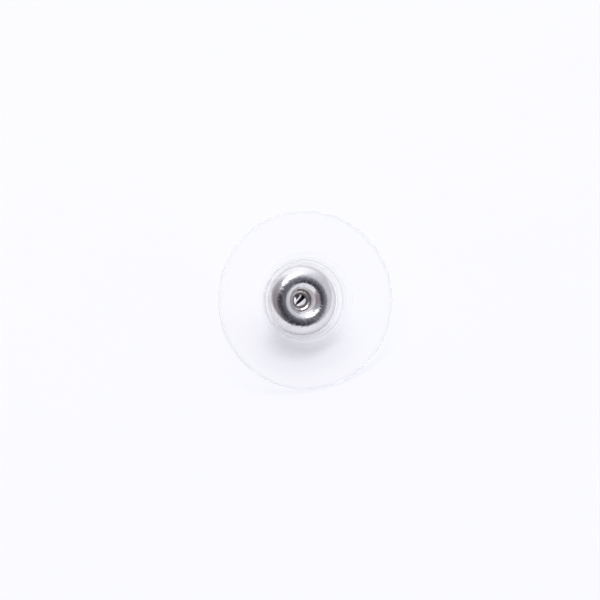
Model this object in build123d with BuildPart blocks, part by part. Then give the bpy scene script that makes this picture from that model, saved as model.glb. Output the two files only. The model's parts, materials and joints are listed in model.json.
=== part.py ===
from build123d import *
from math import asin, atan2, cos, hypot, radians, sin, sqrt, tan
import os

# An earring back: a bullet clutch of thin metal held in a clear comfort disc. Millimetres, +Z up.
# It lies tipped over, on the disc's rim in front and on the domed tail behind, with its ear side up and forward.
# Each piece is turned about the clutch's axis, so a section is drawn as radius against depth, where the
# depth runs from the ear face of the disc towards the tail.

# Comfort disc
disc_diameter = 11.0
disc_thickness = 0.35
collar_wall = 0.24
collar_ledge = 0.29
collar_root_fillet = 0.25
collar_end_round = 0.8
mouth_grip = 0.08

# Metal shell
head_diameter = 4.3
head_recess = 0.38
crest_diameter = 2.54
body_diameter = 3.0
clutch_length = 4.4
sheet_thickness = 0.15
funnel_round = 0.55
funnel_slope = 40.0
throat_diameter = 1.49
throat_bend = 0.04
lip_depth = 1.8

# Grip sleeve
post_hole_diameter = 0.76
sleeve_wall = 0.26
sleeve_overlap = 0.25
sleeve_edge_round = 0.04
mouth_cone_width = 0.11
mouth_cone_depth = 0.055
lead_in_depth = 0.165

# Clearances of the pieces to each other
pocket_clearance = 0.03
lip_clearance = 0.04
tail_hole_clearance = 0.03

# How it lies: the ear side looks this many degrees from -Y towards +X, seen from above
ear_side_turn = 30.0

head_radius = head_diameter / 2
crest_radius = crest_diameter / 2
body_radius = body_diameter / 2
flank_radius = head_radius - crest_radius
equator_depth = head_recess + flank_radius
shoulder_round = (head_radius - body_radius) / 2
shoulder_depth = equator_depth + shoulder_round

post_hole_radius = post_hole_diameter / 2
sleeve_radius = post_hole_radius + sleeve_wall
sleeve_depth = lip_depth - sleeve_overlap
lead_in_radius = sleeve_radius - sleeve_edge_round - mouth_cone_width
lead_in_start = sleeve_depth + mouth_cone_depth
bore_start = lead_in_start + lead_in_depth
throat_radius = throat_diameter / 2
lip_radius = sleeve_radius + lip_clearance
tail_hole_radius = sleeve_radius + tail_hole_clearance
tail_centre_depth = clutch_length - sqrt(body_radius**2 - tail_hole_radius**2)

rim_round = disc_thickness / 2
rim_centre_radius = disc_diameter / 2 - rim_round
mouth_radius = head_radius - mouth_grip
collar_radius = head_radius + pocket_clearance + collar_wall
collar_length = shoulder_depth + pocket_clearance + collar_ledge

# The floor touches both the round rim and the domed tail, and that gives the angle of the disc to the floor.
tail_behind_rim = tail_centre_depth - rim_round
rest_span = hypot(rim_centre_radius, tail_behind_rim)
lean = atan2(tail_behind_rim, rim_centre_radius) + asin((body_radius - rim_round) / rest_span)

# Seen from above the rim is the outline all round, so the middle of the disc stands over the origin.
turn = radians(ear_side_turn)
level = Vector(cos(turn), sin(turn), 0)
ear_normal = Vector(sin(turn) * sin(lean), -cos(turn) * sin(lean), cos(lean))
disc_centre = Vector(0, 0, rim_centre_radius * sin(lean) + rim_round)
ear_face_centre = disc_centre + ear_normal * rim_round

# In the section plane X is the radius and Y is the depth.
section = Plane(origin=ear_face_centre, x_dir=level, z_dir=ear_normal.cross(level))
clutch_axis = Axis(ear_face_centre, section.y_dir)


def outside_run(inset):
    """Draws the outside of the metal from crest to tail, moved inwards by inset, and returns its ends."""
    flank = CenterArc((crest_radius, equator_depth), flank_radius - inset, -90, 90)
    CenterArc((head_radius - shoulder_round, equator_depth), shoulder_round - inset, 0, 90)
    neck_centre = (body_radius + shoulder_round, shoulder_depth + shoulder_round)
    neck = CenterArc(neck_centre, shoulder_round + inset, 180, 90)
    dome = CenterArc((0, tail_centre_depth), body_radius - inset, 0, 90)
    Line(neck @ 0, dome @ 0)
    return flank @ 0, dome @ 1


def funnel_run(inset):
    """Draws the funnel and its tube from lip to crest, moved into the metal by inset, and returns the lip's end."""
    centre = (crest_radius, head_recess + funnel_round)
    funnel = CenterArc(centre, funnel_round - inset, 270 - funnel_slope, funnel_slope)
    cone_end = funnel @ 0
    throat = throat_radius + inset
    throat_depth = cone_end.Y + (cone_end.X - throat) * tan(radians(funnel_slope))
    lip = (lip_radius + inset, lip_depth)
    tube = FilletPolyline(lip, (throat, throat_depth), (cone_end.X, cone_end.Y), radius=throat_bend)
    return tube @ 0


# Comfort disc: a thin disc with a full-round rim and, behind it, the collar whose pocket traps the head.
with BuildPart() as comfort_disc:
    with BuildSketch(section):
        with BuildLine():
            rim = CenterArc((rim_centre_radius, rim_round), rim_round, -90, 180)
            back = FilletPolyline(
                rim @ 1,
                (collar_radius, disc_thickness),
                (collar_radius, collar_length),
                (0, collar_length),
                radius=[collar_root_fillet, collar_end_round],
            )
            Polyline(back @ 1, (0, 0), rim @ 0)
        make_face()
        Rectangle(mouth_radius, equator_depth, align=(Align.MIN, Align.MIN), mode=Mode.SUBTRACT)
        with BuildLine():
            pocket_front, pocket_back = outside_run(-pocket_clearance)
            Polyline(pocket_front, (0, pocket_front.Y), pocket_back)
        make_face(mode=Mode.SUBTRACT)
    revolve(axis=clutch_axis)

# Bullet shell: thin sheet turned in at the crest to form the funnel, with a hole in its domed tail.
with BuildPart() as bullet_shell:
    with BuildSketch(section):
        with BuildLine():
            tail_ends = [outside_run(0)[-1], outside_run(sheet_thickness)[-1]]
            lip_ends = [funnel_run(0), funnel_run(sheet_thickness)]
            Line(tail_ends)
            Line(lip_ends)
        make_face()
        with Locations((0, tail_centre_depth)):
            Rectangle(tail_hole_radius, body_radius, align=(Align.MIN, Align.MIN), mode=Mode.SUBTRACT)
    revolve(axis=clutch_axis)

# Grip sleeve: the small tube between funnel and tail that grips the post, with two cones in its mouth.
with BuildPart() as grip_sleeve:
    with BuildSketch(section):
        with BuildLine():
            edge_centre = (sleeve_radius - sleeve_edge_round, sleeve_depth + sleeve_edge_round)
            edge = CenterArc(edge_centre, sleeve_edge_round, -90, 90)
            Polyline(
                edge @ 1,
                (sleeve_radius, clutch_length),
                (post_hole_radius, clutch_length),
                (post_hole_radius, bore_start),
                (lead_in_radius, lead_in_start),
                edge @ 0,
            )
        make_face()
    revolve(axis=clutch_axis)

comfort_disc.part.label = "comfort_disc"
bullet_shell.part.label = "bullet_shell"
grip_sleeve.part.label = "grip_sleeve"

os.makedirs("parts", exist_ok=True)
export_step(comfort_disc.part, "parts/comfort_disc.step")
export_step(bullet_shell.part, "parts/bullet_shell.step")
export_step(grip_sleeve.part, "parts/grip_sleeve.step")
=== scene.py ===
"""A bullet clutch earring back with a clear comfort disc, lying tipped on a pale surface."""

import json
from math import acos, cos, degrees, pi, radians, sin, sqrt, tan

import bmesh
import bpy
from bpy.props import FloatProperty, FloatVectorProperty, PointerProperty
from bpy.types import Operator, Panel, PropertyGroup
from mathutils import Matrix, Vector


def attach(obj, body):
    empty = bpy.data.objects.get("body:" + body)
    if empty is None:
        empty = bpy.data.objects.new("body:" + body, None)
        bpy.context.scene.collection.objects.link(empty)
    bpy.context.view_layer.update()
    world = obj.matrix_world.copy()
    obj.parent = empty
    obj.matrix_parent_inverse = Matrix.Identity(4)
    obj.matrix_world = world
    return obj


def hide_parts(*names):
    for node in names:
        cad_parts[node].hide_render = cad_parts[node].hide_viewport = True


bl_info = {
    "name": "Bullet clutch earring back",
    "version": (1, 0, 0),
    "blender": (4, 5, 0),
    "location": "View3D > Sidebar > Earring Back",
    "description": "Builds a metal bullet clutch in its clear comfort disc, on a pale stage",
    "category": "Add Mesh",
}

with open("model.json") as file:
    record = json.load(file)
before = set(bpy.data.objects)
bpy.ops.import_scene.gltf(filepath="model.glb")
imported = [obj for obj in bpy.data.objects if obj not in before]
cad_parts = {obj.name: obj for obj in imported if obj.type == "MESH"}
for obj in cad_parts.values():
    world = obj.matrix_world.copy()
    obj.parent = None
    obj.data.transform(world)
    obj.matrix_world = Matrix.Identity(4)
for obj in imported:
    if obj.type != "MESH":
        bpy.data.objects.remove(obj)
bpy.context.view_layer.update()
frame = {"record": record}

MM = 0.001
MOUNTS = {mount["name"]: mount for mount in frame["record"]["mounts"]}

# The clutch's axis looks out of the funnel, and depths are measured from the ear face towards the tail.
AXIS = Vector(MOUNTS["post_bore"]["axis"]).normalized()
BORE = Vector(MOUNTS["post_bore"]["pos_m"])
EAR_FACE = BORE + AXIS * (Vector(MOUNTS["ear_face"]["pos_m"]) - BORE).dot(AXIS)
LEVEL = Vector((-AXIS.y, AXIS.x, 0)).normalized()
ACROSS = AXIS.cross(LEVEL)

# How finely the pieces are turned and their corners broken
TURN_STEPS = 360
EDGE_ROUND = 0.02 * MM
EDGE_PARTS = 5
SHARP_CORNER = radians(30)

# Points of a section nearer than the first are one, and a straight longer than the second gets more points.
SAME_PLACE = 0.001 * MM
LONG_RUN = 6 * EDGE_ROUND

# Width of the flat between the two rounds of the lip at the end of the funnel's tube
LIP_FLAT = 0.01 * MM

# Degrees between the points of an arc
ARC_STEP = 5
FINE_STEP = 3
BROAD_STEP = 7.5
LIP_STEP = 10

# Where one finish, painted shade or glow turns into the next: radii, depths and a height over the floor, in
# millimetres
TUBE_DEPTH = (0.64, 0.72)
TUBE_RADIUS = (0.76, 0.80)
TUBE_FADE = (1.3, 1.7)
FOOT_DEPTH = (0.45, 0.6)
FOOT_RADIUS = (0.80, 0.92)
CREST_DEPTH = (0.42, 0.56)
BORE_RADIUS = (0.385, 0.395)
LEAD_RADIUS = (0.47, 0.50)
GLOW_HEIGHT = (1.0, 3.2)
GLOW_RADIUS = (2.7, 3.2)

# The dark slanted band of painted shade in the bore: depths in millimetres where it starts and ends,
# how steeply it slants, how soft its edges are, and how far behind it the painted shade turns brown
BORE_BAND = (2.2, 3.6)
BORE_SLANT = 5.5
BAND_BLUR = 0.15
PAST_BAND = (0.35, 0.75)

# Colours of single zones of the metal; the dark rings' colour and the bore's black and brown are painted
# shade
SATIN_TUBE = (0.90, 0.88, 0.90, 1)
RING_SHADE_COLOUR = (0.30, 0.29, 0.30, 1)
BRIGHT_BORE = (0.88, 0.88, 0.92, 1)
SATIN_LEAD = (0.50, 0.46, 0.43, 1)
DEPTH_SHADE = (0.14, 0.10, 0.09, 1)
BAND_SHADE = (0.02, 0.02, 0.025, 1)

# Light that a few mirrored bounces lose inside the funnel's tube, given back there as a faint glow
TUBE_LIGHT = (0.24, 0.225, 0.24, 1)
NO_LIGHT = (0, 0, 0, 1)

# Roughness of the plastic at the rim and the collar
CLOUDY_ROUGHNESS = 0.2

# Soft parts of the room that the metal mirrors: azimuth from the camera, elevation, half width, half height,
# softness of the edge and light. Angles in degrees. Later ones lie over earlier ones.
ROOM_PARTS = {
    "window behind": (226, 41, 69, 60.5, 0.15, (1.21, 1.23, 1.28)),
    "side wall": (-76, 47.5, 43.5, 25, 0.53, (0.42, 0.41, 0.46)),
    "dark camera side": (0, 32.9, 44.8, 38.5, 0.22, (0.048, 0.050, 0.063)),
    "camera hood": (36, 51.9, 16.2, 19.4, 0.95, (0.168, 0.171, 0.199)),
    "wooden bench": (-73, 20.1, 47.2, 20.8, 0.51, (0.322, 0.285, 0.309)),
    "bench front": (-97.5, 2.4, 18.3, 16.9, 0.83, (0.36, 0.34, 0.36)),
}

# What the camera sees of the room past the floor's edge
BACKDROP = (0.955, 0.965, 1.0, 1)

# Lamps: azimuth from the camera, elevation, half width and half height, all in degrees
LAMPS = {
    "Top Lamp": (-146.5, 81.4, 21.3, 8.8),
    "Back Lamp": (180, 76, 7, 7),
}
LAMP_DISTANCE = 0.4
LAMP_COLOUR = (1.0, 1.0, 0.98)

# The round floor's radius in metres and the number of its corners
FLOOR_RADIUS = 0.9
FLOOR_CORNERS = 128

# Sensor's width in millimetres, and how far the view's middle lies to the left of the ear face's
SENSOR_WIDTH = 36
VIEW_OFFSET = 0.38 * MM


def length(name, description, millimetres):
    """A size that the sidebar shows in the scene's units."""
    return FloatProperty(
        name=name,
        description=description,
        default=millimetres * MM,
        min=0,
        precision=5,
        subtype="DISTANCE",
        unit="LENGTH",
    )


def share(name, description, default, high=1):
    """A plain number of a finish or a light."""
    return FloatProperty(
        name=name,
        description=description,
        default=default,
        min=0,
        max=high,
        subtype="FACTOR",
    )


def tone(name, description, default):
    """A linear colour."""
    return FloatVectorProperty(
        name=name,
        description=description,
        default=default,
        size=3,
        min=0,
        subtype="COLOR",
    )


def angle(name, description, default):
    """An angle, given here in degrees."""
    return FloatProperty(
        name=name,
        description=description,
        default=radians(default),
        subtype="ANGLE",
        unit="ROTATION",
    )


class DiscSizes(PropertyGroup):
    """Comfort disc and the collar behind it."""

    diameter: length("Diameter", "Across the rim of the disc", 11)
    thickness: length("Thickness", "Thickness of the disc, whose rim is full round", 0.35)
    collar_wall: length("Collar Wall", "Plastic around the pocket that holds the metal head", 0.24)
    collar_ledge: length("Collar Ledge", "Plastic behind the metal head's shoulder", 0.29)
    collar_root: length("Collar Root", "Fillet between the disc and its collar", 0.25)
    collar_end: length("Collar End", "Round at the free end of the collar", 0.8)
    mouth_grip: length("Mouth Grip", "How far the mouth closes over the metal head", 0.08)
    mouth_round: length("Mouth Round", "Round between the ear face and the mouth", 0.12)
    clearance: length("Clearance", "Gap between the metal head and its pocket", 0.03)
    tint: tone("Tint", "Colour of the clear plastic", (0.995, 0.996, 1.0))
    polish: share("Roughness", "Roughness of the moulded plastic", 0.02)
    face_shadow: tone("Face Shadow", "What the disc's flat lets through", (0.985, 0.985, 0.995))
    edge_tint: tone("Edge Tint", "Colour of the plastic at the rim and the collar", (0.955, 0.965, 1.0))
    edge_shadow: tone("Edge Shadow", "What the rim and the collar let through", (0.80, 0.82, 0.89))


class ShellSizes(PropertyGroup):
    """Metal shell of the bullet clutch."""

    head_diameter: length("Head Diameter", "Across the rolled head", 4.3)
    head_recess: length("Head Recess", "Depth of the head's crest behind the ear face", 0.38)
    crest_diameter: length("Crest Diameter", "Across the circle where the head rolls inwards", 2.54)
    body_diameter: length("Body Diameter", "Across the body behind the collar", 3)
    clutch_length: length("Clutch Length", "From the ear face to the end of the tail", 4.4)
    sheet: length("Sheet", "Thickness of the metal sheet", 0.15)
    funnel_round: length("Funnel Round", "Round of the funnel from the crest inwards", 0.55)
    funnel_slope: angle("Funnel Slope", "Slope of the funnel from its round to the throat", 40)
    throat_diameter: length("Throat Diameter", "Across the tube at the funnel's inner end", 1.49)
    lip_depth: length("Lip Depth", "Depth of the tube's inner end", 1.8)
    lip_clearance: length("Lip Clearance", "Gap between the tube's inner end and the sleeve", 0.04)
    tail_clearance: length("Tail Clearance", "Gap between the tail's hole and the sleeve", 0.03)
    metal: tone("Metal", "Colour of the polished metal", (0.80, 0.79, 0.80))
    edge_tint: tone("Edge Tint", "Colour of the polished metal seen edge on", (0.66, 0.64, 0.66))
    polish: share("Roughness", "Roughness of the polished metal", 0.06)


class SleeveSizes(PropertyGroup):
    """Tube that grips the post."""

    post_hole: length("Post Hole", "Diameter of the hole for the earring post", 0.76)
    wall: length("Wall", "Thickness of the sleeve's wall", 0.26)
    overlap: length("Overlap", "How far the sleeve reaches into the funnel's tube", 0.25)
    cone_width: length("Cone Width", "Width of the flat cone around the mouth", 0.11)
    cone_depth: length("Cone Depth", "Depth of the flat cone around the mouth", 0.055)
    lead_depth: length("Lead Depth", "Depth of the steep cone that leads the post in", 0.165)
    edge_round: length("Edge Round", "Round on the outer edge of the mouth", 0.04)
    metal: tone("Metal", "Colour of the sleeve's metal", (0.74, 0.72, 0.71))
    edge_tint: tone("Edge Tint", "Colour of the sleeve's metal seen edge on", (1.0, 1.0, 1.0))
    polish: share("Roughness", "Roughness of the sleeve", 0.16)


class StageLook(PropertyGroup):
    """Floor, lights and camera."""

    floor: tone("Floor", "Colour of the pale floor", (0.53, 0.53, 0.50))
    floor_glow: tone("Floor Glow", "Light that comes through the floor from below", (0.43, 0.43, 0.49))
    room: tone("Room", "Light of the room where nothing else is", (0.689, 0.692, 0.751))
    top_light: share("Top Light", "Brightness of the oval lamp overhead", 4.5, 100)
    back_light: share("Back Light", "Brightness of the lamp that metal doesn't mirror", 5.0, 100)
    camera_azimuth: angle("Camera Azimuth", "Camera's way round, from -Y towards +X", 10.3)
    camera_elevation: angle("Camera Elevation", "Camera's height over the horizon", 49.8)
    camera_distance: length("Camera Distance", "From the camera to the ear face", 250)
    view_width: length("View Width", "Width of the floor strip that the picture spans", 36.88)


class Tree:
    """The node tree of a material or of the world, emptied and built up again."""

    def __init__(self, owner):
        owner.use_nodes = True
        self.nodes = owner.node_tree.nodes
        self.links = owner.node_tree.links
        self.nodes.clear()

    def add(self, kind, settings=None, inputs=None, output=0):
        """Adds a node: first its settings, then its sockets' values or links. Returns one of its outputs."""
        node = self.nodes.new(kind)
        for name, setting in (settings or {}).items():
            setattr(node, name, setting)
        for name, given in (inputs or {}).items():
            if isinstance(given, Value):
                self.links.new(given.socket, node.inputs[name])
            else:
                node.inputs[name].default_value = given
        return Value(self, node.outputs[output]) if node.outputs else None

    def vector(self, operation, *values, output="Vector"):
        """Adds a Vector Math node."""
        return self.add("ShaderNodeVectorMath", {"operation": operation}, dict(enumerate(values)), output)

    def scaled(self, vector, factor):
        """Makes a vector longer or shorter."""
        return self.add("ShaderNodeVectorMath", {"operation": "SCALE"}, {0: vector, "Scale": factor})

    def along(self, vector, way):
        """How far a vector reaches along a fixed way."""
        return self.vector("DOT_PRODUCT", vector, tuple(way), output="Value")

    def mix(self, factor, first, second):
        """Adds a Mix node between two colours."""
        settings = {"data_type": "RGBA", "clamp_factor": True}
        return self.add("ShaderNodeMix", settings, {0: factor, 6: first, 7: second}, 2)

    def noise(self, vector, scale, detail=3, roughness=0.5):
        """Adds a noise texture, about 0.5 on average."""
        inputs = {"Vector": vector, "Scale": scale, "Detail": detail, "Roughness": roughness}
        return self.add("ShaderNodeTexNoise", {"noise_dimensions": "3D"}, inputs)

    def lines(self, place, scale, detail=3):
        """Adds noise along one number, for lines that run round the axis."""
        inputs = {"W": place, "Scale": scale, "Detail": detail, "Roughness": 0.6}
        return self.add("ShaderNodeTexNoise", {"noise_dimensions": "1D"}, inputs)

    def step(self, value, low, high):
        """Rises smoothly from 0 at low to 1 at high."""
        inputs = {"Value": value, "From Min": low, "From Max": high}
        return self.add("ShaderNodeMapRange", {"interpolation_type": "SMOOTHSTEP"}, inputs)


class Value:
    """A socket that takes part in Python arithmetic. Each operator adds a Math node."""

    def __init__(self, tree, socket):
        self.tree = tree
        self.socket = socket

    def math(self, operation, *values):
        """Adds a Math node."""
        return self.tree.add("ShaderNodeMath", {"operation": operation}, dict(enumerate(values)))

    def __add__(self, other):
        return self.math("ADD", self, other)

    def __sub__(self, other):
        return self.math("SUBTRACT", self, other)

    def __rsub__(self, other):
        return self.math("SUBTRACT", other, self)

    def __mul__(self, other):
        return self.math("MULTIPLY", self, other)

    def __truediv__(self, other):
        return self.math("DIVIDE", self, other)

    def __rtruediv__(self, other):
        return self.math("DIVIDE", other, self)

    def __pow__(self, other):
        return self.math("POWER", self, other)

    def __rpow__(self, other):
        return self.math("POWER", other, self)

    __radd__ = __add__
    __rmul__ = __mul__


def placed(name, data):
    """Adds an object to the scene."""
    thing = bpy.data.objects.new(name, data)
    bpy.context.scene.collection.objects.link(thing)
    return thing


def arc(centre, radius, start, end, step=ARC_STEP):
    """Points of the section, as (radius, depth), on an arc between two angles in degrees."""
    count = max(3, round(abs(end - start) / step))
    turns = [radians(start + (end - start) * i / count) for i in range(count + 1)]
    return [(centre[0] + radius * cos(turn), centre[1] + radius * sin(turn)) for turn in turns]


def eased(corners):
    """Breaks each sharp corner of a closed section with a small round."""
    points = []
    for before, here, after in zip(corners[-1:] + corners[:-1], corners, corners[1:] + corners[:1]):
        coming, going = here - before, after - here
        if coming.angle(going) < SHARP_CORNER:
            points.append(here)
            continue
        start = here - coming.normalized() * EDGE_ROUND
        end = here + going.normalized() * EDGE_ROUND
        for i in range(EDGE_PARTS + 1):
            t = i / EDGE_PARTS
            points.append(start * (1 - t) ** 2 + here * 2 * t * (1 - t) + end * t**2)
    return points


def outline(*runs):
    """Joins runs of points into a closed section. Long straights get more points, so that they shade flat."""
    joined = [Vector(point) for run in runs for point in run]
    pairs = zip(joined, joined[1:] + joined[:1])
    easy = eased([here for here, after in pairs if (after - here).length > SAME_PLACE])
    points = []
    for here, after in zip(easy, easy[1:] + easy[:1]):
        points.append(here)
        gap = (after - here).length
        if gap > LONG_RUN:
            end = EDGE_ROUND / gap
            points += [here.lerp(after, t) for t in (end, 0.25, 0.5, 0.75, 1 - end)]
    return points


def turned(name, section, materials, node, zone=lambda radius, depth: 0):
    """Turns a closed section about the clutch's axis, and lets the piece stand for its CAD node.

    The zone of a place on the section says which of the materials it has.
    """
    points = []
    for i in range(TURN_STEPS):
        turn = 2 * pi * i / TURN_STEPS
        way = LEVEL * cos(turn) + ACROSS * sin(turn)
        points += [EAR_FACE + way * radius - AXIS * depth for radius, depth in section]
    count = len(section)
    faces = []
    for i in range(TURN_STEPS):
        here, beside = i * count, (i + 1) % TURN_STEPS * count
        for j in range(count):
            after = (j + 1) % count
            faces.append((here + j, here + after, beside + after, beside + j))
    mesh = bpy.data.meshes.new(name)
    mesh.from_pydata(points, [], faces)
    middles = [here.lerp(after, 0.5) for here, after in zip(section, section[1:] + section[:1])]
    zones = [zone(*middle) for middle in middles] * TURN_STEPS
    mesh.polygons.foreach_set("material_index", zones)
    body = bmesh.new()
    body.from_mesh(mesh)
    bmesh.ops.recalc_face_normals(body, faces=body.faces[:])
    body.to_mesh(mesh)
    body.free()
    mesh.shade_smooth()
    for material in materials:
        mesh.materials.append(material)

    piece = placed(name, mesh)
    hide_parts(node)
    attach(piece, "root")
    return piece


def head_circles(shell):
    """Radii of head, body, crest, flank and shoulder, and the depths of the equator and the neck."""
    head = shell.head_diameter / 2
    body = shell.body_diameter / 2
    crest = shell.crest_diameter / 2
    flank = head - crest
    shoulder = (head - body) / 2
    equator = shell.head_recess + flank
    return head, body, crest, flank, shoulder, equator, equator + 2 * shoulder


def disc_section(disc, shell):
    """Ear face, full-round rim, collar and the pocket with its mouth."""
    head, body, crest, flank, shoulder, equator, neck_depth = head_circles(shell)
    gap = disc.clearance
    half = disc.thickness / 2
    mouth = head - disc.mouth_grip
    collar = head + gap + disc.collar_wall
    collar_end = equator + shoulder + gap + disc.collar_ledge
    root = disc.collar_root
    end = disc.collar_end
    lead = disc.mouth_round
    mouth_turn = -degrees(acos((mouth - crest) / (flank + gap)))
    return outline(
        arc((disc.diameter / 2 - half, half), half, -90, 90, BROAD_STEP),
        arc((collar + root, disc.thickness + root), root, -90, -180),
        arc((collar - end, collar_end - end), end, 0, 90, BROAD_STEP),
        [(body + gap, collar_end)],
        arc((body + shoulder, neck_depth), shoulder - gap, 180, 270),
        arc((body + shoulder, equator), shoulder + gap, 90, 0),
        arc((crest, equator), flank + gap, 0, mouth_turn, FINE_STEP),
        arc((mouth + lead, lead), lead, 180, 270),
    )


def shell_section(shell, sleeve):
    """Crest, head, shoulder, body and domed tail outside, then back inside to the funnel and its lip."""
    head, body, crest, flank, shoulder, equator, neck_depth = head_circles(shell)
    sheet = shell.sheet
    sleeve_radius = sleeve.post_hole / 2 + sleeve.wall
    lip = sleeve_radius + shell.lip_clearance
    lip_edge = (sheet - LIP_FLAT) / 2
    lip_middle = shell.lip_depth - lip_edge
    funnel = (crest, shell.head_recess + shell.funnel_round)
    bend = 270 - degrees(shell.funnel_slope)
    hole = sleeve_radius + shell.tail_clearance
    tail = shell.clutch_length - sqrt(body**2 - hole**2)
    outer_turn = degrees(acos(hole / body))
    inner_turn = degrees(acos(hole / (body - sheet)))

    def throat(inset):
        radius = shell.throat_diameter / 2 + inset
        cone_end = arc(funnel, shell.funnel_round - inset, bend, 270)[0]
        return [(radius, cone_end[1] + (cone_end[0] - radius) * tan(shell.funnel_slope))]

    return outline(
        arc((crest, equator), flank, -90, 0, FINE_STEP),
        arc((head - shoulder, equator), shoulder, 0, 90),
        arc((body + shoulder, neck_depth), shoulder, 270, 180),
        arc((0, tail), body, 0, outer_turn, FINE_STEP),
        arc((0, tail), body - sheet, inner_turn, 0, FINE_STEP),
        arc((body + shoulder, neck_depth), shoulder + sheet, 180, 270),
        arc((head - shoulder, equator), shoulder - sheet, 90, 0),
        arc((crest, equator), flank - sheet, 0, -90),
        arc(funnel, shell.funnel_round - sheet, 270, bend),
        throat(sheet),
        arc((lip + sheet - lip_edge, lip_middle), lip_edge, 0, 90, LIP_STEP),
        arc((lip + lip_edge, lip_middle), lip_edge, 90, 180, LIP_STEP),
        throat(0),
        arc(funnel, shell.funnel_round, bend, 270, FINE_STEP),
    )


def sleeve_section(shell, sleeve):
    """A tube with a flat and a steep cone in its mouth, from inside the funnel's lip to the tail's end."""
    hole = sleeve.post_hole / 2
    outside = hole + sleeve.wall
    mouth = shell.lip_depth - sleeve.overlap
    edge = sleeve.edge_round
    lead_start = mouth + sleeve.cone_depth
    return outline(
        [(hole, lead_start + sleeve.lead_depth), (outside - edge - sleeve.cone_width, lead_start)],
        arc((outside - edge, mouth + edge), edge, 270, 360),
        [(outside, shell.clutch_length), (hole, shell.clutch_length)],
    )


def on_the_axis(tree):
    """Gives the surface's place from the ear face's middle, its radius and its depth, in millimetres."""
    place = tree.add("ShaderNodeTexCoord", output="Object")
    place = tree.scaled(tree.vector("SUBTRACT", place, tuple(EAR_FACE)), 1 / MM)
    height = tree.along(place, AXIS)
    on_axis = tree.scaled(tuple(AXIS), height)
    radius = tree.vector("LENGTH", tree.vector("SUBTRACT", place, on_axis), output="Value")
    return place, radius, height * -1


def drawn_tube(tree, place, radius, depth, base, rough):
    """Makes the funnel's tube satin, with dark rings of painted shade at its foot, and gives it its glow.

    Returns the colour, roughness, metallic and light of the surface, as banded_bore does.
    """
    inside = tree.step(depth, *TUBE_DEPTH) * (1 - tree.step(radius, *TUBE_RADIUS))
    foot = tree.step(depth, *FOOT_DEPTH) * (1 - tree.step(radius, *FOOT_RADIUS))
    # Fine dark rings at the tube's foot are painted shade; the glow is dimmer on them.
    rings = tree.lines(radius + depth * 0.6, scale=14, detail=1)
    ring_shade = foot * tree.step(rings, 0.5, 0.6)
    base = tree.mix(inside, base, SATIN_TUBE)
    base = tree.mix(ring_shade, base, RING_SHADE_COLOUR)
    lit = inside * (1 - tree.step(depth, *TUBE_FADE)) * (1 - ring_shade * 0.7)
    light = tree.mix(lit, NO_LIGHT, TUBE_LIGHT)
    return base, rough + inside * 0.2, 1 - inside * 0.9, light


def banded_bore(tree, place, radius, depth, base, rough):
    """Makes the sleeve's bore bright and smooth, with a dark band of painted shade across it and painted
    brown shade deeper in, and its lead-in satin.
    """
    bore = 1 - tree.step(radius, *BORE_RADIUS)
    lead = (1 - bore) * (1 - tree.step(radius, *LEAD_RADIUS))
    # A slanted dark band across the bore and the brown deeper behind it are painted shade.
    slant = depth + tree.along(place, ACROSS) * BORE_SLANT
    start, end = BORE_BAND
    begun = tree.step(slant, start - BAND_BLUR, start + BAND_BLUR)
    ended = tree.step(slant, end - BAND_BLUR, end + BAND_BLUR)
    band = bore * begun * (1 - ended)
    past = bore * tree.step(slant, end + PAST_BAND[0], end + PAST_BAND[1])
    base = tree.mix(bore, base, BRIGHT_BORE)
    base = tree.mix(lead, base, SATIN_LEAD)
    base = tree.mix(past, base, DEPTH_SHADE)
    base = tree.mix(band, base, BAND_SHADE)
    return base, rough - bore * 0.04 + band * 0.7 + past * 0.5, 1 - lead * 0.6, NO_LIGHT


def polished_metal(name, colour, edge_tint, polish, turning, inside):
    """Bright metal with fine lines from turning, faint wipe marks and a slightly uneven polish."""
    material = bpy.data.materials.new(name)
    tree = Tree(material)
    place, radius, depth = on_the_axis(tree)
    lines = tree.lines(radius, scale=34) + tree.lines(depth, scale=30)
    cloud = tree.noise(place, scale=1.6, detail=4)
    grain = tree.noise(place, scale=6, roughness=0.6)
    mottle = tree.step(tree.noise(place, scale=5, roughness=0.6), 0.45, 0.7)
    wiped = tree.noise(tree.vector("MULTIPLY", place, (3, 22, 9)), scale=1, detail=4, roughness=0.65)
    wipes = tree.step(wiped, 0.55, 0.8)

    worn = tuple(part * 0.84 for part in colour)
    stain = tree.step(cloud, 0.45, 0.75) * 0.6 + mottle * 0.3
    base = tree.mix(stain, (*colour, 1), (*worn, 1))
    crest = 1 - tree.step(depth, *CREST_DEPTH)
    rough = polish + cloud * 0.04 + (lines - 1) * 0.05 * turning + wipes * 0.08
    rough = rough + mottle * (crest * 0.18 + 0.08)
    base, rough, metallic, light = inside(tree, place, radius, depth, base, rough)
    height = lines * 0.25 * turning + wipes * 0.2 + cloud * 1.2 + grain * 2.2
    bump = tree.add("ShaderNodeBump", {}, {"Strength": 0.5, "Distance": 0.012 * MM, "Height": height})
    inputs = {
        "Base Color": base,
        "Metallic": metallic,
        "Roughness": rough,
        "Specular Tint": (*edge_tint, 1),
        "Emission Color": light,
        "Emission Strength": 1.0,
        "Normal": bump,
    }
    surface = tree.add("ShaderNodeBsdfPrincipled", {}, inputs)
    tree.add("ShaderNodeOutputMaterial", {}, {"Surface": surface})
    return material


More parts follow.
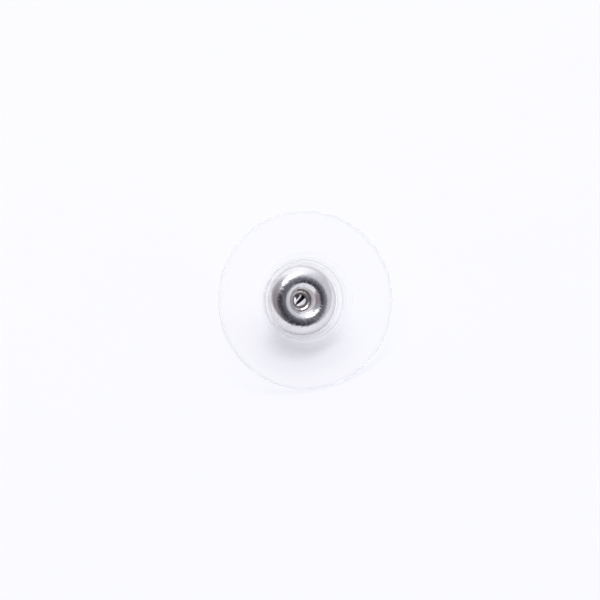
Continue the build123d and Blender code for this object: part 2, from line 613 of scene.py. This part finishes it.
def clear_plastic(name, tint, lets_through, polish, alpha, clarity=1.0, glow=0.0):
    """Clear soft plastic, a little wavy from the mould, with fine haze and a few rub marks.

    Where it has a glow, it leads some light of the pale floor into its lower part.
    """
    material = bpy.data.materials.new(name)
    tree = Tree(material)
    place, radius, _ = on_the_axis(tree)
    waves = tree.noise(place, scale=0.55, detail=2)
    haze = tree.noise(place, scale=3.2, detail=4)
    rubbed = tree.noise(tree.vector("MULTIPLY", place, (2, 17, 6)), scale=1, detail=4, roughness=0.6)
    rubs = tree.step(rubbed, 0.6, 0.8)
    height = waves * 2.0 + haze * 0.08 + rubs * 0.05
    bump = tree.add("ShaderNodeBump", {}, {"Strength": 0.03, "Distance": 0.02 * MM, "Height": height})
    light = NO_LIGHT
    if glow:
        up = tree.along(place, (0, 0, 1)) + EAR_FACE.z / MM
        low = (1 - tree.step(up, *GLOW_HEIGHT)) * (1 - tree.step(radius, *GLOW_RADIUS))
        light = tree.mix(low, NO_LIGHT, (glow, glow, glow, 1))
    inputs = {
        "Base Color": (*tint, 1),
        "Emission Color": light,
        "Emission Strength": 1.0,
        "Roughness": polish + haze * 0.02 + rubs * 0.05,
        "IOR": 1.41,
        "Transmission Weight": clarity,
        "Alpha": alpha,
        "Normal": bump,
    }
    plastic = tree.add("ShaderNodeBsdfPrincipled", {}, inputs)
    passing = tree.add("ShaderNodeBsdfTransparent", {}, {"Color": (*lets_through, 1)})
    shadow = tree.add("ShaderNodeLightPath", output="Is Shadow Ray")
    surface = tree.add("ShaderNodeMixShader", {}, {0: shadow, 1: plastic, 2: passing})
    tree.add("ShaderNodeOutputMaterial", {}, {"Surface": surface})
    return material


def pale_floor(name, colour, glow):
    """A smooth matt sheet with the faintest unevenness, lit a little from below as on a light table."""
    material = bpy.data.materials.new(name)
    tree = Tree(material)
    place = tree.add("ShaderNodeTexCoord", output="Object")
    cloud = tree.noise(place, scale=90)
    shade = tuple(part * 0.985 for part in colour)
    inputs = {
        "Base Color": tree.mix(cloud, (*colour, 1), (*shade, 1)),
        "Roughness": 0.85,
        "Specular IOR Level": 0.1,
        "Emission Color": (*glow, 1),
        "Emission Strength": 1.0,
    }
    surface = tree.add("ShaderNodeBsdfPrincipled", {}, inputs)
    tree.add("ShaderNodeOutputMaterial", {}, {"Surface": surface})
    return material


def heading(azimuth, elevation):
    """The way to a place round the object, with azimuth from -Y towards +X, in degrees."""
    a, e = radians(azimuth), radians(elevation)
    return Vector((sin(a) * cos(e), -cos(a) * cos(e), sin(e)))


def patch(tree, direction, azimuth, elevation, half_width, half_height, soft):
    """1 inside an oval part of the room, 0 outside, with a soft edge. Angles in degrees."""
    ahead = heading(azimuth, elevation)
    right = heading(azimuth + 90, 0)
    x = tree.along(direction, right) / sin(radians(half_width))
    y = tree.along(direction, ahead.cross(right)) / sin(radians(half_height))
    reach = (x * x + y * y) ** 0.5
    front = tree.step(tree.along(direction, ahead), 0, 0.1)
    return (1 - tree.step(reach, 1 - soft, 1 + soft)) * front


def light_room(look):
    """The room's own light: a window behind, dark where the camera stands, a wall and a bench at the left."""
    world = bpy.data.worlds.new("Pale Room")
    bpy.context.scene.world = world
    tree = Tree(world)
    direction = tree.add("ShaderNodeTexCoord", output="Generated")
    side = degrees(look.camera_azimuth)
    colour = (*look.room, 1)
    for azimuth, elevation, half_width, half_height, soft, light in ROOM_PARTS.values():
        mask = patch(tree, direction, side + azimuth, elevation, half_width, half_height, soft)
        colour = tree.mix(mask, colour, (*light, 1))
    seen = tree.add("ShaderNodeLightPath", output="Is Camera Ray")
    colour = tree.mix(seen, colour, BACKDROP)
    surface = tree.add("ShaderNodeBackground", {}, {"Color": colour, "Strength": 1.0})
    tree.add("ShaderNodeOutputWorld", {}, {"Surface": surface})


def oval_lamp(name, look, brightness):
    """An oval lamp that faces the object. Its half sizes are the angles that it fills, seen from there."""
    azimuth, elevation, half_width, half_height = LAMPS[name]
    azimuth += degrees(look.camera_azimuth)
    lamp = bpy.data.lights.new(name, "AREA")
    lamp.shape = "ELLIPSE"
    lamp.size = 2 * LAMP_DISTANCE * sin(radians(half_width))
    lamp.size_y = 2 * LAMP_DISTANCE * sin(radians(half_height))
    lamp.energy = brightness * pi * lamp.size * lamp.size_y
    lamp.color = LAMP_COLOUR
    holder = placed(name, lamp)
    way = heading(azimuth, elevation)
    right = heading(azimuth + 90, 0)
    holder.location = EAR_FACE + way * LAMP_DISTANCE
    holder.rotation_mode = "QUATERNION"
    holder.rotation_quaternion = Matrix((right, way.cross(right), way)).transposed().to_quaternion()
    holder.visible_camera = False
    return holder


class EARRINGBACK_OT_disc(Operator):
    """Make the clear comfort disc with its collar"""

    bl_idname = "earring_back.disc"
    bl_label = "Comfort Disc"

    def execute(self, context):
        disc = context.scene.comfort_disc
        shell = context.scene.bullet_shell
        clear = (tuple(disc.tint), tuple(disc.face_shadow), disc.polish)
        cloudy = (tuple(disc.edge_tint), tuple(disc.edge_shadow), CLOUDY_ROUGHNESS)
        face = clear_plastic("Clear Plastic", *clear, alpha=0.35)
        edge = clear_plastic("Clear Plastic Edge", *cloudy, alpha=0.3, clarity=0.75, glow=0.22)
        pocket = clear_plastic("Clear Plastic Pocket", *clear, alpha=0.1)

        # The pocket's zone reaches just past its wall. The flat lies between the collar's root and the rim.
        held = shell.head_diameter / 2 + disc.clearance * 1.1
        collar = held + disc.collar_wall + disc.collar_root
        rim = (disc.diameter - disc.thickness) / 2

        def zone(radius, depth):
            if radius < held:
                return 2
            return 0 if collar < radius < rim else 1

        section = disc_section(disc, shell)
        piece = turned("Comfort_Disc", section, (face, edge, pocket), "comfort_disc", zone)
        piece.visible_diffuse = False
        piece.visible_glossy = False
        return {"FINISHED"}


class EARRINGBACK_OT_shell(Operator):
    """Make the polished metal shell with its funnel and domed tail"""

    bl_idname = "earring_back.shell"
    bl_label = "Bullet Clutch"

    def execute(self, context):
        shell = context.scene.bullet_shell
        metal, edge = tuple(shell.metal), tuple(shell.edge_tint)
        material = polished_metal("Polished Metal", metal, edge, shell.polish, turning=1, inside=drawn_tube)
        section = shell_section(shell, context.scene.grip_sleeve)
        turned("Bullet_Clutch", section, (material,), "bullet_shell")
        return {"FINISHED"}


class EARRINGBACK_OT_sleeve(Operator):
    """Make the sleeve that grips the post"""

    bl_idname = "earring_back.sleeve"
    bl_label = "Grip Sleeve"

    def execute(self, context):
        sleeve = context.scene.grip_sleeve
        metal, edge = tuple(sleeve.metal), tuple(sleeve.edge_tint)
        material = polished_metal("Sleeve Metal", metal, edge, sleeve.polish, turning=1.6, inside=banded_bore)
        section = sleeve_section(context.scene.bullet_shell, sleeve)
        turned("Grip_Sleeve", section, (material,), "grip_sleeve")
        return {"FINISHED"}


class EARRINGBACK_OT_stage(Operator):
    """Make the pale floor, the soft light and the camera"""

    bl_idname = "earring_back.stage"
    bl_label = "Stage"

    def execute(self, context):
        look = context.scene.earring_back_stage
        self.lay_floor(look)
        light_room(look)
        oval_lamp("Top Lamp", look, look.top_light)
        back = oval_lamp("Back Lamp", look, look.back_light)
        back.visible_glossy = False
        context.scene.camera = self.place_camera(look)
        context.scene.view_settings.view_transform = "Standard"
        return {"FINISHED"}

    def lay_floor(self, look):
        """Lays a round pale sheet under the object."""
        mesh = bpy.data.meshes.new("Floor")
        sheet = bmesh.new()
        bmesh.ops.create_circle(sheet, cap_ends=True, radius=FLOOR_RADIUS, segments=FLOOR_CORNERS)
        sheet.to_mesh(mesh)
        sheet.free()
        mesh.materials.append(pale_floor("Pale Floor", tuple(look.floor), tuple(look.floor_glow)))
        floor = placed("Floor", mesh)

    def place_camera(self, look):
        """Looks at the ear face from the photograph's angle."""
        lens = bpy.data.cameras.new("Camera")
        lens.sensor_width = SENSOR_WIDTH
        lens.lens = SENSOR_WIDTH * look.camera_distance / look.view_width
        lens.clip_start = 0.01
        lens.clip_end = 5
        azimuth = degrees(look.camera_azimuth)
        back = heading(azimuth, degrees(look.camera_elevation))
        right = heading(azimuth + 90, 0)
        camera = placed("Camera", lens)
        camera.location = EAR_FACE - right * VIEW_OFFSET + back * look.camera_distance
        camera.rotation_mode = "QUATERNION"
        camera.rotation_quaternion = back.to_track_quat("Z", "Y")
        return camera


class EARRINGBACK_PT_panel(Panel):
    """Sizes, finishes and build buttons"""

    bl_idname = "EARRINGBACK_PT_panel"
    bl_label = "Earring Back"
    bl_space_type = "VIEW_3D"
    bl_region_type = "UI"
    bl_category = "Earring Back"

    def draw(self, context):
        for group, (_, operator) in GROUPS.items():
            box = self.layout.box()
            settings = getattr(context.scene, group)
            for name in settings.__annotations__:
                box.prop(settings, name)
            box.operator(operator.bl_idname)


# The scene's property groups, each with its settings and the operator that builds from them
GROUPS = {
    "comfort_disc": (DiscSizes, EARRINGBACK_OT_disc),
    "bullet_shell": (ShellSizes, EARRINGBACK_OT_shell),
    "grip_sleeve": (SleeveSizes, EARRINGBACK_OT_sleeve),
    "earring_back_stage": (StageLook, EARRINGBACK_OT_stage),
}


def register():
    """Makes the settings, the operators and the panel known to Blender."""
    for name, (settings, operator) in GROUPS.items():
        bpy.utils.register_class(settings)
        setattr(bpy.types.Scene, name, PointerProperty(type=settings))
        bpy.utils.register_class(operator)
    bpy.utils.register_class(EARRINGBACK_PT_panel)


def unregister():
    """Takes them out again."""
    bpy.utils.unregister_class(EARRINGBACK_PT_panel)
    for name, (settings, operator) in GROUPS.items():
        bpy.utils.unregister_class(operator)
        delattr(bpy.types.Scene, name)
        bpy.utils.unregister_class(settings)


def main():
    """Registers the add-on and builds everything in order."""
    register()
    bpy.ops.earring_back.disc()
    bpy.ops.earring_back.shell()
    bpy.ops.earring_back.sleeve()
    bpy.ops.earring_back.stage()


if __name__ == "__main__":
    main()
